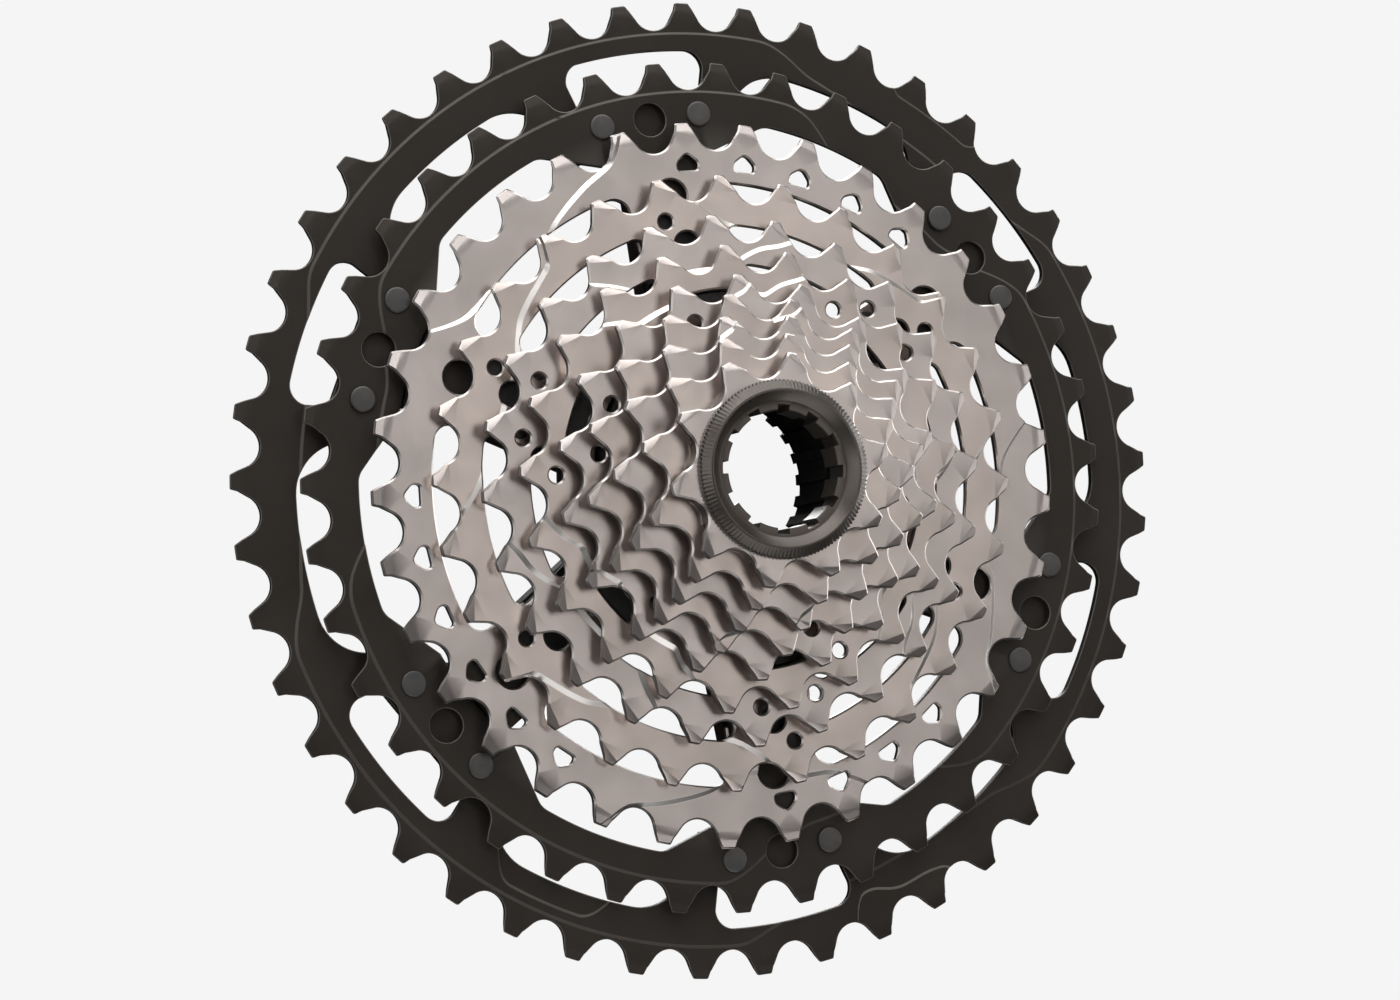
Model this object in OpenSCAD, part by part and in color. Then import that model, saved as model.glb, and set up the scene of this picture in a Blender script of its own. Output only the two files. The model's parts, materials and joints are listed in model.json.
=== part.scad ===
// Cassette sprocket: eleven chain sprockets on two riveted carriers and a freehub spline,
// clamped by a threaded lockring.
// The hub axis is the Y axis and the small sprockets face -Y. The origin is on the hub axis,
// in the plane where the freehub's shoulder seats inside the rear carrier.
// Everything is drawn lying down, with the hub axis along Z and the outboard side up,
// and stand() turns it upright.

/* [Chain and teeth] */
// Distance between two chain pins
chain_pitch = 12.7; // [12.6:0.05:12.8]
// Radius of the round seat that a chain roller rests in
roller_seat_r = 3.9; // [3.8:0.05:4]
// Height of a tooth tip above the pitch circle, on the three largest sprockets
tooth_rise = 1.4; // [1.2:0.05:1.5]
// The same height on the eight smaller sprockets
small_tooth_rise = 1.0; // [0.8:0.05:1.15]
// Distance from a tooth's middle line to its tip corner on the steep side
steep_tip_w = 1.45; // [1.2:0.05:1.6]
// The same distance on the sloping side, on the three largest sprockets
sloping_tip_w = 1.25; // [1.0:0.05:1.4]
// The same on the smaller sprockets, whose teeth are more pointed
small_sloping_tip_w = 0.5; // [0.4:0.05:0.8]

/* [Stack] */
// Distance from one sprocket's front face to the next one's
spacing = 3.69; // [3.65:0.01:3.75]
// Thickness of a sprocket plate
plate_t = 1.8; // [1.7:0.05:1.85]
// How far the largest sprocket's front face lies behind the freehub seat
overhang = 7; // [6.8:0.1:7.2]
// How much thinner the two black sprockets are at their teeth
tooth_relief = 0.25; // [0.1:0.05:0.4]

/* [Freehub spline] */
// Number of splines
spline_count = 23; // [19:1:25]
// Radius to the tips of the sprockets' inner splines
spline_tip_r = 14.8; // [14.6:0.1:14.9]
// Radius to the bottoms of the spline grooves
spline_groove_r = 15.6; // [15.5:0.05:15.7]
// Width of one spline groove
spline_groove_w = 2.1; // [1.8:0.1:2.3]
// Radius of the pilot bore behind the seat
pilot_r = 18; // [17.5:0.1:18.2]

/* [Carriers] */
// Angle of the first carrier arm, seen from the small sprocket's side
arm_angle = 41; // [40:0.5:42]
// Half the width of a rear carrier arm
arm_half_w = 8; // [7:0.1:8.5]
// Radius of the rear carrier's hub
hub_r = 21.8; // [21.5:0.1:21.9]
// Radius of the circle that the outer rivets stand on
outer_rivet_r = 70.3; // [70:0.1:70.8]

/* [Lockring] */
// Radius of the lockring's rim
rim_r = 16.35; // [16.3:0.05:16.6]
// Radius of the lockring's threaded sleeve
thread_r = 13.4; // [13.2:0.05:13.45]
// Number of grooves for the lockring tool
tool_grooves = 12; // [10:1:14]
// Number of notches around the rim
rim_notches = 132; // [96:4:140]

/* [Hidden] */
$fn = 96;

arms = 6;
arm_step = 360 / arms;
over = 1;                        // how far a cut runs past the solid
fit_gap = 0.4;                   // radial gap where a sprocket ring is slipped over a step
rivet_play = 0.05;               // radial gap between a rivet's shank and its hole

// Tooth count of each sprocket, from the spokes outwards, and the angle of one of its
// teeth. Neighbours are turned so that the chain can climb from one to the next.
TEETH = [45, 39, 33, 28, 24, 21, 18, 16, 14, 12, 10];
CLOCKING = [5.2, 6.5, 9.5, 1.2, 4.9, 8.25, 12.7, 9.0, 1.7, 21.1, 10.4];

// Outer radii of the raised webs of the two black sprockets
web_45_r = 86.2;
web_39_r = 74.15;

// Windows: outer radius, half width there as an angle, inner radius, half width there,
// corner radius, how far the corner turns
WINDOW_45 = [80.3, 15.7, 62, 18.5, 9.5, 75];
SLOT_45 = [83.2, 10, 75.3, 9.6, 3.6, 90];
WINDOW_39 = [69.5, 13, 60.6, 25.6, 4, 36];
WINDOW_33 = [56.7, 20.5, 44, 19.5, 3, 90];
WINDOW_28 = [48.2, 20, 38, 16.5, 2.5, 90];
WINDOW_24 = [40.3, 18, 34, 15, 2, 90];
WINDOW_21 = [35.4, 10, 32.4, 9, 1.2, 90];

// Centre holes of the sprockets that lie on the rear carrier
centre_45_r = 65;
centre_39_r = 63;
centre_33_r = 45.5;

// Round pockets, one at each arm: radius of their circle and of the hole
pocket_at_r = 69.8;
pocket_r = 3.2;
pocket_33_at_r = 54.6;
pocket_28_at_r = 44.9;
pocket_28_r = 2.5;

// Small round holes near the teeth
small_hole_r = 1.45;
holes_28_at_r = 49.8;
holes_24_at_r = 42.3;
holes_24_half_angle = 7.5;
holes_21_at_r = 36.7;
holes_18_at_r = 30;
teardrops_at_r = 60.4;

// Radii of the built-in spacers of the two smallest sprockets and of the loose spacers
boss_12_r = 18.9;
boss_10_r = 17.4;
spacer_18_16_r = 21;
spacer_16_14_r = 20;

// Radii of the steps on which the riveted sprockets sit
pad_r = 74.2;                    // rear carrier, 45 and 39 tooth sprockets
seat_33_r = 62.6;                // rear carrier, 33 tooth sprocket
seat_28_r = 51.5;
seat_24_r = 39.2;
seat_21_r = 34.9;
seat_18_r = 28.9;
nose_r = 22;

// Radii of the rivet circles of the smaller riveted sprockets
rivet_33_r = 49;
rivet_28_r = 42;
rivet_24_r = 37.2;
rivet_21_r = 31.4;
rivet_18_r = 25.9;

// Half the angle between the two rivets of a pair
rivet_half_angle = 8;
rivet_33_half_angle = 4.2;
rivet_28_half_angle = 8;

// Rivets: radius of the shank, radius and height of a head
shank_r = 1.5;
head_r = 2.4;
head_t = 0.4;
small_shank_r = 1;
head_33_r = 1.9;
head_28_r = 1.6;
small_head_r = 1.5;
small_head_t = 0.35;

// Places along the hub axis
hub_rear_z = -6;                 // rear end of the rear carrier's hub, behind the seat
hub_front_z = 4;                 // its front end, where the front carrier starts
arm_rear_z = -overhang + 1.2;    // rear face of the rear carrier's arms
web_rear_z = 2 * spacing - overhang + 0.52;   // rear face of the front carrier's arms
thread_rear_z = 24;              // inner end of the lockring's sleeve
washer_t = 0.4;

function pitch_r(n) = chain_pitch / 2 / sin(180 / n);
function front_z(k) = k * spacing - overhang;
function rear_z(k) = front_z(k) - plate_t;
function polar(r, a) = [r * cos(a), r * sin(a)];

module stand() {
    rotate([90, 0, 0]) children();
}

module slab(low, high) {
    translate([0, 0, low]) linear_extrude(high - low) children();
}

module at_arms(offset_angle = 0) {
    for (i = [0 : arms - 1]) rotate(arm_angle + offset_angle + i * arm_step) children();
}

// ---- Sprocket outlines ----

function tip_rise(n) = n >= TEETH[2] ? tooth_rise : small_tooth_rise;
function tip_r(n) = pitch_r(n) + tip_rise(n);

// A point of a tooth, given across the tooth and along its middle line, seen from the middle
// of the next gap. side is 1 for the tooth at the gap's higher angle and -1 for the other.
function on_tooth(n, side, across, along) = let (half_step = side * 180 / n)
    [along * cos(half_step) - across * sin(half_step), along * sin(half_step) + across * cos(half_step)];

// The space between two teeth: a round roller seat that opens into two flanks, one steep and
// one sloping. The flanks run on past the tip circle, which cuts them off.
module gullet(n) {
    big = n >= TEETH[2];
    steep_w = steep_tip_w;
    sloping_w = big ? sloping_tip_w : small_sloping_tip_w;
    steep_mid_w = steep_w + 0.35;
    sloping_mid_w = sloping_w + (big ? 0.75 : 0.7);
    seat_end = 62;
    run_on = 1.4;
    seat_x = pitch_r(n) - roller_seat_r * cos(seat_end);
    seat_y = roller_seat_r * sin(seat_end);
    low_mid = on_tooth(n, -1, steep_mid_w, pitch_r(n));
    low_tip = on_tooth(n, -1, steep_w, sqrt(pow(tip_r(n), 2) - pow(steep_w, 2)));
    high_mid = on_tooth(n, 1, -sloping_mid_w, pitch_r(n));
    high_tip = on_tooth(n, 1, -sloping_w, sqrt(pow(tip_r(n), 2) - pow(sloping_w, 2)));
    translate([pitch_r(n), 0]) circle(roller_seat_r, $fn = 48);
    low_end = low_mid + run_on * (low_tip - low_mid);
    high_end = high_mid + run_on * (high_tip - high_mid);
    outside_x = tip_r(n) + over;
    polygon([
        [seat_x, -seat_y], low_mid, low_end, [outside_x, low_end[1]],
        [outside_x, high_end[1]], high_end, high_mid, [seat_x, seat_y]
    ]);
}

module toothed_disc(k) {
    n = TEETH[k];
    difference() {
        circle(tip_r(n));
        for (i = [0 : n - 1]) rotate(CLOCKING[k] + (i + 0.5) * 360 / n) gullet(n);
    }
}

// A window with an arc as its outer side, straight sides and round outer corners
module window(shape) {
    r_out = shape[0];
    a_out = shape[1];
    r_in = shape[2];
    a_in = shape[3];
    corner = shape[4];
    corner_turn = shape[5];
    centre_r = r_out - corner;
    centre_a = a_out - asin(corner / centre_r);
    upper = concat(
        [for (a = [0 : centre_a / 4 : centre_a - 0.01]) polar(r_out, a)],
        [for (t = [0 : corner_turn / 3 : corner_turn]) polar(centre_r, centre_a)
            + polar(corner, centre_a + t)],
        [polar(r_in, a_in)]
    );
    lower = [for (i = [len(upper) - 1 : -1 : 1]) [upper[i][0], -upper[i][1]]];
    polygon(concat(upper, lower));
}

// A rounded three-sided hole under a tooth, with its point outwards
module teardrop(r_mid) {
    translate([r_mid, 0]) {
        circle(1.4, $fn = 32);
        polygon([
            [-1.3, -2], [-0.9, -2.3], [0.2, -2], [2, -0.35],
            [2, 0.35], [0.2, 2], [-0.9, 2.3], [-1.3, 2]
        ]);
    }
}

module hole_at(r, a, hole_r) {
    rotate(a) translate([r, 0]) circle(hole_r, $fn = 32);
}

// The freehub's outline: a round core and one rib for each spline groove.
// The first groove is wider, so that every part goes on in one position only.
module freehub_outline() {
    circle(spline_tip_r);
    intersection() {
        circle(spline_groove_r);
        for (i = [0 : spline_count - 1]) {
            groove_w = i == 0 ? 1.5 * spline_groove_w : spline_groove_w;
            rotate(90 + i * 360 / spline_count)
                translate([spline_tip_r - over, -groove_w / 2])
                    square([2 * over + spline_groove_r - spline_tip_r, groove_w]);
        }
    }
}

// ---- Rivets ----

// One rivet from the underside of its rear head to the underside of its front head
module rivet(r, low, high, shank, head, t) {
    translate([r, 0, low]) cylinder(r = shank, h = high - low, $fn = 32);
    translate([r, 0, low - t]) cylinder(r1 = head - t, r2 = head, h = t, $fn = 32);
    translate([r, 0, high]) cylinder(r1 = head, r2 = head - t, h = t, $fn = 32);
}

module small_rivet(r, low, high, head = small_head_r) {
    rivet(r, low, high, small_shank_r, head, small_head_t);
}

// ---- The two black sprockets on the rear carrier ----

module web_45() {
    difference() {
        circle(web_45_r);
        circle(centre_45_r);
        at_arms(arm_step / 2) window(WINDOW_45);
        at_arms() window(SLOT_45);
        outer_rivet_holes();
        at_arms() hole_at(pocket_at_r, 0, pocket_r);
    }
}

module web_39() {
    difference() {
        circle(web_39_r);
        circle(centre_39_r);
        at_arms(arm_step / 2) window(WINDOW_39);
        outer_rivet_holes();
        at_arms() hole_at(pocket_at_r, 0, pocket_r);
    }
}

module outer_rivet_holes() {
    at_arms(rivet_half_angle) hole_at(outer_rivet_r, 0, shank_r + rivet_play);
    at_arms(-rivet_half_angle) hole_at(outer_rivet_r, 0, shank_r + rivet_play);
}

// Holes for small rivets, in pairs at the arms
module paired_rivet_holes(r, half_angle) {
    at_arms(half_angle) hole_at(r, 0, small_shank_r + rivet_play);
    at_arms(-half_angle) hole_at(r, 0, small_shank_r + rivet_play);
}

// Holes for single small rivets, turned from the arms by an angle
module single_rivet_holes(r, offset_angle = 0) {
    at_arms(offset_angle) hole_at(r, 0, small_shank_r + rivet_play);
}

// The teeth stand back from the web's front face, so the step catches light as a thin ring
module stepped_sprocket(k, web_r) {
    slab(rear_z(k), front_z(k) - tooth_relief) {
        difference() {
            toothed_disc(k);
            circle(web_r - over);
        }
    }
    slab(rear_z(k), front_z(k)) children();
}

module sprocket_45t() {
    color([0.16, 0.15, 0.14]) stand() stepped_sprocket(0, web_45_r) web_45();
}

module sprocket_39t() {
    color([0.18, 0.17, 0.16]) stand() stepped_sprocket(1, web_39_r) web_39();
}

// ---- The silver sprockets ----

silver = [0.68, 0.66, 0.63];

module sprocket_33t() {
    k = 2;
    teardrop_teeth = [[4 : 8], [16 : 21], [25 : 28]];
    color(silver) stand() slab(rear_z(k), front_z(k)) difference() {
        toothed_disc(k);
        circle(centre_33_r);
        at_arms(arm_step / 2) window(WINDOW_33);
        at_arms() hole_at(pocket_33_at_r, 0, pocket_r);
        paired_rivet_holes(rivet_33_r, rivet_33_half_angle);
        for (group = teardrop_teeth) for (i = group)
            rotate(CLOCKING[k] + i * 360 / TEETH[k]) teardrop(teardrops_at_r);
    }
}

module sprocket_28t() {
    k = 3;
    hole_angles = [37, 105, 157, 217, 285, 337];
    color(silver) stand() slab(rear_z(k), front_z(k)) difference() {
        toothed_disc(k);
        circle(seat_24_r + fit_gap);
        at_arms(arm_step / 2) window(WINDOW_28);
        at_arms() hole_at(pocket_28_at_r, 0, pocket_28_r);
        paired_rivet_holes(rivet_28_r, rivet_28_half_angle);
        for (a = hole_angles) hole_at(holes_28_at_r, a, small_hole_r);
    }
}

module sprocket_24t() {
    k = 4;
    first_angle = arm_angle + 3;
    color(silver) stand() slab(rear_z(k), front_z(k)) difference() {
        toothed_disc(k);
        circle(seat_21_r + fit_gap);
        at_arms(arm_step / 2) window(WINDOW_24);
        single_rivet_holes(rivet_24_r);
        for (i = [0 : 2 : arms - 1]) for (side = [-1, 1])
            rotate(first_angle + i * arm_step + side * holes_24_half_angle)
                hole_at(holes_24_at_r, 0, small_hole_r);
    }
}

module sprocket_21t() {
    k = 5;
    first_angle = arm_angle + 20;
    color(silver) stand() slab(rear_z(k), front_z(k)) difference() {
        toothed_disc(k);
        circle(seat_18_r + fit_gap);
        at_arms() window(WINDOW_21);
        single_rivet_holes(rivet_21_r, arm_step / 2);
        for (i = [0 : 2 : arms - 1]) hole_at(holes_21_at_r, first_angle + i * arm_step, small_hole_r);
    }
}

module sprocket_18t() {
    k = 6;
    hole_angles = [52, 112, 156, 174, 232, 293, 352];
    color(silver) stand() slab(rear_z(k), front_z(k)) difference() {
        toothed_disc(k);
        circle(nose_r + fit_gap);
        single_rivet_holes(rivet_18_r, arm_step / 2);
        for (a = hole_angles) hole_at(holes_18_at_r, a, small_hole_r);
    }
}

module splined_plate(k) {
    slab(rear_z(k), front_z(k)) difference() {
        toothed_disc(k);
        freehub_outline();
    }
}

module sprocket_16t() {
    color(silver) stand() splined_plate(7);
}

module sprocket_14t() {
    color(silver) stand() splined_plate(8);
}

// The two smallest sprockets carry their own spacer as a boss on the rear face
module bossed_sprocket(k, boss_r) {
    splined_plate(k);
    slab(front_z(k - 1), rear_z(k)) difference() {
        circle(boss_r);
        freehub_outline();
    }
}

module sprocket_12t() {
    color(silver) stand() bossed_sprocket(9, boss_12_r);
}

module sprocket_10t() {
    color(silver) stand() bossed_sprocket(10, boss_10_r);
}

// ---- Carriers ----

black_metal = [0.13, 0.12, 0.12];
black_composite = [0.09, 0.09, 0.09];

// One arm in plan, from inside the hub to radius r_end. It widens towards its root.
module arm_plan(half_w, r_end, root_half_w) {
    root_r = nose_r - 3;
    straight_from_r = r_end * 0.75;
    polygon([
        [root_r, -root_half_w], [straight_from_r, -half_w], [r_end, -half_w],
        [r_end, half_w], [straight_from_r, half_w], [root_r, root_half_w]
    ]);
}

// The end of a rear arm, which the 45 and 39 tooth sprockets are riveted to
module pad_plan() {
    half_angle = 11.5;
    neck_r = 61.5;
    shoulder_r = 66.5;
    past_r = 80;
    difference() {
        intersection() {
            circle(pad_r);
            polygon([
                [neck_r, -arm_half_w], polar(shoulder_r, -half_angle), polar(past_r, -half_angle),
                polar(past_r, half_angle), polar(shoulder_r, half_angle), [neck_r, arm_half_w]
            ]);
        }
        hole_at(outer_rivet_r, rivet_half_angle, shank_r + rivet_play);
        hole_at(outer_rivet_r, -rivet_half_angle, shank_r + rivet_play);
    }
}

module rear_arm() {
    arm_front_z = rear_z(2);
    end_r = 70;
    root_half_w = 9;
    floor_t = 1.8;
    hollow_from_r = 24;
    hollow_to_r = 43;
    hollow_root_half_w = 6.6;
    hollow_end_half_w = arm_half_w - 2.6;
    slab(front_z(0), rear_z(1)) pad_plan();
    difference() {
        slab(arm_rear_z, arm_front_z) difference() {
            intersection() {
                circle(seat_33_r);
                arm_plan(arm_half_w, end_r, root_half_w);
            }
            hole_at(rivet_33_r, rivet_33_half_angle, small_shank_r + rivet_play);
            hole_at(rivet_33_r, -rivet_33_half_angle, small_shank_r + rivet_play);
        }
        // the arm is hollowed from the rear, leaving two side ribs and a floor
        slab(arm_rear_z - over, arm_front_z - floor_t) polygon([
            [hollow_from_r, -hollow_root_half_w], [hollow_to_r, -hollow_end_half_w],
            [hollow_to_r, hollow_end_half_w], [hollow_from_r, hollow_root_half_w]
        ]);
    }
}

module rear_carrier() {
    color(black_metal) stand() difference() {
        union() {
            slab(hub_rear_z, hub_front_z) circle(hub_r);
            at_arms() rear_arm();
        }
        slab(hub_rear_z - over, 0) circle(pilot_r);
        slab(-over, hub_front_z + over) freehub_outline();
    }
}

// The front carrier is a staircase: each riveted sprocket lies on one step
module mid_carrier() {
    long_arm_end_r = 60;
    long_arm_root_half_w = 10;
    short_arm_end_r = 50;
    short_arm_root_half_w = 9;
    rear_disc_r = 30;
    second_disc_r = 29;
    color(black_composite) stand() difference() {
        union() {
            slab(web_rear_z, rear_z(3)) at_arms() intersection() {
                circle(seat_28_r);
                arm_plan(arm_half_w, long_arm_end_r, long_arm_root_half_w);
            }
            slab(web_rear_z, rear_z(3)) circle(rear_disc_r);
            slab(rear_z(3), rear_z(4)) at_arms() intersection() {
                circle(seat_24_r);
                arm_plan(arm_half_w - 0.5, short_arm_end_r, short_arm_root_half_w);
            }
            slab(rear_z(3), rear_z(4)) circle(second_disc_r);
            slab(rear_z(4), rear_z(5)) circle(seat_21_r);
            slab(rear_z(5), rear_z(6)) circle(seat_18_r);
            slab(rear_z(6), front_z(6)) circle(nose_r);
        }
        slab(web_rear_z - over, hub_front_z) circle(hub_r + fit_gap);
        slab(hub_front_z - over, front_z(6) + over) freehub_outline();
        slab(web_rear_z - over, rear_z(3) + over)
            paired_rivet_holes(rivet_28_r, rivet_28_half_angle);
        slab(web_rear_z - over, rear_z(4) + over) single_rivet_holes(rivet_24_r);
        slab(rear_z(4) - over, rear_z(5) + over) single_rivet_holes(rivet_21_r, arm_step / 2);
        slab(web_rear_z - over, rear_z(6) + over) single_rivet_holes(rivet_18_r, arm_step / 2);
    }
}

// ---- Spacers between the loose sprockets ----

module spacer(k, outer_r) {
    slab(front_z(k), rear_z(k + 1)) difference() {
        circle(outer_r);
        circle(spline_groove_r + fit_gap);
    }
}

module spacer_18_16() {
    color(black_metal) stand() spacer(6, spacer_18_16_r);
}

module spacer_16_14() {
    color(black_metal) stand() spacer(7, spacer_16_14_r);
}

// ---- Lockring ----

module lockring_washer() {
    color([0.35, 0.34, 0.33]) stand() slab(front_z(10), front_z(10) + washer_t) difference() {
        circle(rim_r - 0.15);
        circle(thread_r + 0.15);
    }
}

module lockring() {
    flange_z = front_z(10) + washer_t;
    rim_t = 0.6;
    flange_t = 2;
    face_in_r = 14.1;
    face_out_r = 14.6;
    tool_tip_r = 10.7;
    tool_groove_r = 11.7;
    tool_groove_w = 2.4;
    notch_depth = 0.28;
    notch_half_w = 0.24;
    tip_chamfer = 0.5;
    recess_z = flange_z + 0.3;
    recess_r = 12.4;
    color(black_metal) stand() difference() {
        rotate_extrude() polygon([
            [tool_tip_r, thread_rear_z], [thread_r - tip_chamfer, thread_rear_z],
            [thread_r, thread_rear_z + tip_chamfer],
            [thread_r, flange_z], [rim_r, flange_z], [rim_r, flange_z + rim_t],
            [face_out_r, flange_z + flange_t], [face_in_r, flange_z + flange_t],
            [recess_r, recess_z], [tool_tip_r, recess_z]
        ]);
        slab(thread_rear_z - over, flange_z + over) for (i = [0 : tool_grooves - 1])
            rotate(i * 360 / tool_grooves) translate([tool_tip_r - over, -tool_groove_w / 2])
                square([tool_groove_r - tool_tip_r + over, tool_groove_w]);
        slab(flange_z - over, flange_z + rim_t - 0.1) for (i = [0 : rim_notches - 1])
            rotate(i * 360 / rim_notches) polygon([
                [rim_r - notch_depth, 0],
                [rim_r + notch_depth, -2 * notch_half_w], [rim_r + notch_depth, 2 * notch_half_w]
            ]);
    }
}

// ---- Rivet groups ----

rivet_steel = [0.3, 0.28, 0.27];

module rivets_45_39() {
    color(rivet_steel) stand() for (side = [-1, 1])
        at_arms(side * rivet_half_angle)
            rivet(outer_rivet_r, rear_z(0), front_z(1), shank_r, head_r, head_t);
}

module rivets_33t() {
    color(rivet_steel) stand() for (side = [-1, 1])
        at_arms(side * rivet_33_half_angle)
            small_rivet(rivet_33_r, arm_rear_z, front_z(2), head_33_r);
}

module rivets_28t() {
    color(rivet_steel) stand() for (side = [-1, 1])
        at_arms(side * rivet_28_half_angle)
            small_rivet(rivet_28_r, web_rear_z, front_z(3), head_28_r);
}

module rivets_24t() {
    color(rivet_steel) stand() at_arms() small_rivet(rivet_24_r, web_rear_z, front_z(4));
}

module rivets_21t() {
    color(rivet_steel) stand() at_arms(arm_step / 2) small_rivet(rivet_21_r, rear_z(4), front_z(5));
}

module rivets_18t() {
    color(rivet_steel) stand() at_arms(arm_step / 2) small_rivet(rivet_18_r, web_rear_z, front_z(6));
}

sprocket_45t();
sprocket_39t();
sprocket_33t();
sprocket_28t();
sprocket_24t();
sprocket_21t();
sprocket_18t();
sprocket_16t();
sprocket_14t();
sprocket_12t();
sprocket_10t();
rear_carrier();
mid_carrier();
spacer_18_16();
spacer_16_14();
lockring_washer();
lockring();
rivets_45_39();
rivets_33t();
rivets_28t();
rivets_24t();
rivets_21t();
rivets_18t();
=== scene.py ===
import json
import math

import bpy
import numpy as np
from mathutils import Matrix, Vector
from mathutils.geometry import delaunay_2d_cdt


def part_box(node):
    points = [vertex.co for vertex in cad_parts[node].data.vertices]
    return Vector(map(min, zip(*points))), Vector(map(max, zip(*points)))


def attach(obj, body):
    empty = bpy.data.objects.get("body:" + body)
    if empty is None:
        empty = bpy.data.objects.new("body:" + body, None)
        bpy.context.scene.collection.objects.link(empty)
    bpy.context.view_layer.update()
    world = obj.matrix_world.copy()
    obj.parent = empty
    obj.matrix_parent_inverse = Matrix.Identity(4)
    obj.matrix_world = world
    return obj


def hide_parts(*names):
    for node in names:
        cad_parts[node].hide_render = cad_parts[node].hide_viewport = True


# Drawing is done in millimetres, lying down: x and y are the plane of a sprocket as seen from
# the small sprockets' side, and z is the distance from the freehub seat towards that side.
# place() turns it upright and into metres.
MM = 0.001

# Teeth: how far a tip stands out from the pitch circle, and from a tooth's middle line to its
# corners. The three large sprockets have wider and higher tips.
CHAIN_PITCH = 12.7
ROLLER_SEAT_R = 3.9
TOOTH_RISE = 1.4
SMALL_TOOTH_RISE = 1.0
STEEP_TIP_W = 1.45
SLOPING_TIP_W = 1.25
SMALL_SLOPING_TIP_W = 0.5
TIP_CORNER_R = 0.3

PLATE_T = 1.8
BLACK_CHAMFER = 0.2
SILVER_CHAMFER = 0.32

# The carriers' arms, and the first one's angle
ARMS = 6
ARM_STEP = 360 / ARMS
ARM_ANGLE = 41

# Tooth counts from the spokes outwards, and the angle of one tooth of each
TEETH = [45, 39, 33, 28, 24, 21, 18, 16, 14, 12, 10]
CLOCKING = [5.2, 6.5, 9.5, 1.2, 4.9, 8.25, 12.7, 9.0, 1.7, 21.1, 10.4]

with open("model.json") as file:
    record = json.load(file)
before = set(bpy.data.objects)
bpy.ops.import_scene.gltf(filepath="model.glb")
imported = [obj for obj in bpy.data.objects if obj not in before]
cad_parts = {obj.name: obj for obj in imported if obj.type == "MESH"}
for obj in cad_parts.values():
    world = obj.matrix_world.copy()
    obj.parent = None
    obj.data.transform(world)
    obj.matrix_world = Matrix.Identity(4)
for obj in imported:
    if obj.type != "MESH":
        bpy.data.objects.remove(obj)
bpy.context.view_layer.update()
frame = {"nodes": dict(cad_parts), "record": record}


# ---- Helpers ----

def polar(r, a):
    a = math.radians(a)
    return (r * math.cos(a), r * math.sin(a))


def place(points):
    """Drawing millimetres to upright metres"""
    p = np.asarray(points, float)
    return np.stack([p[:, 0], -p[:, 2], p[:, 1]], axis=1) * MM


def span(node):
    """Lowest and highest drawing z of a CAD node"""
    low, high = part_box(node)
    return (-high.y / MM, -low.y / MM)


def arms(offset=0.0):
    return [ARM_ANGLE + offset + i * ARM_STEP for i in range(ARMS)]


def turn(points, a):
    c, s = math.cos(math.radians(a)), math.sin(math.radians(a))
    return [(x * c - y * s, x * s + y * c) for x, y in points]


def new_piece(name, vertices, faces, node, material, smooth=None):
    mesh = bpy.data.meshes.new(name)
    mesh.from_pydata([tuple(v) for v in place(vertices)], [], faces)
    mesh.validate()
    if smooth is not None:
        mesh.polygons.foreach_set("use_smooth", smooth)
        mesh.set_sharp_from_angle(angle=math.radians(32))
    mesh.materials.append(material)
    piece = bpy.data.objects.new(name, mesh)
    bpy.context.scene.collection.objects.link(piece)
    bodies = frame["record"]["behaviour"]["bodies"]
    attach(piece, next(b for b, members in bodies.items() if node in members))
    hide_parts(node)
    return piece


# ---- Outlines ----

def circle_loop(r, centre=(0, 0), count=None):
    count = count or max(24, int(r * 6))
    return [(centre[0] + r * math.cos(t), centre[1] + r * math.sin(t))
            for t in np.linspace(0, 2 * math.pi, count, endpoint=False)]


def pitch_radius(count):
    return CHAIN_PITCH / 2 / math.sin(math.pi / count)


def tip_radius(count):
    return pitch_radius(count) + (TOOTH_RISE if count >= TEETH[2] else SMALL_TOOTH_RISE)


def tooth_loop(count, first):
    """Outline of a sprocket. A tooth has one steep and one sloping flank, and a tip with small
    round corners."""
    pitch_r, tip_r = pitch_radius(count), tip_radius(count)
    big = count >= TEETH[2]
    sloping_w = SLOPING_TIP_W if big else SMALL_SLOPING_TIP_W
    steep_mid_w = STEEP_TIP_W + 0.35
    sloping_mid_w = sloping_w + (0.75 if big else 0.7)

    def on_tooth(side, across, along):
        half_step = side * math.pi / count
        c, s = math.cos(half_step), math.sin(half_step)
        return np.array([along * c - across * s, along * s + across * c])

    def flank(side, mid_w, tip_w):
        """From the middle of a flank to its tip, with the tip's corner rounded"""
        mid = on_tooth(side, mid_w, pitch_r)
        corner = on_tooth(side, tip_w, math.sqrt(tip_r ** 2 - tip_w ** 2))
        on_flank = corner + (mid - corner) * TIP_CORNER_R / np.linalg.norm(mid - corner)
        inward_w = tip_w - math.copysign(TIP_CORNER_R, tip_w)
        on_tip = on_tooth(side, inward_w, math.sqrt(tip_r ** 2 - inward_w ** 2))
        bend = [(1 - t) ** 2 * on_flank + 2 * t * (1 - t) * corner + t * t * on_tip
                for t in np.linspace(0, 1, 5)]
        return [tuple(p) for p in [mid] + bend]

    seat_end = math.radians(62)
    seat = [(pitch_r - ROLLER_SEAT_R * math.cos(t), ROLLER_SEAT_R * math.sin(t))
            for t in np.linspace(-seat_end, seat_end, 21)]
    gap = (flank(-1, steep_mid_w, STEEP_TIP_W)[::-1] + seat
           + flank(1, -sloping_mid_w, -sloping_w))
    loop = []
    for i in range(count):
        loop += turn(gap, first + (i + 0.5) * 360 / count)
    return loop


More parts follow.
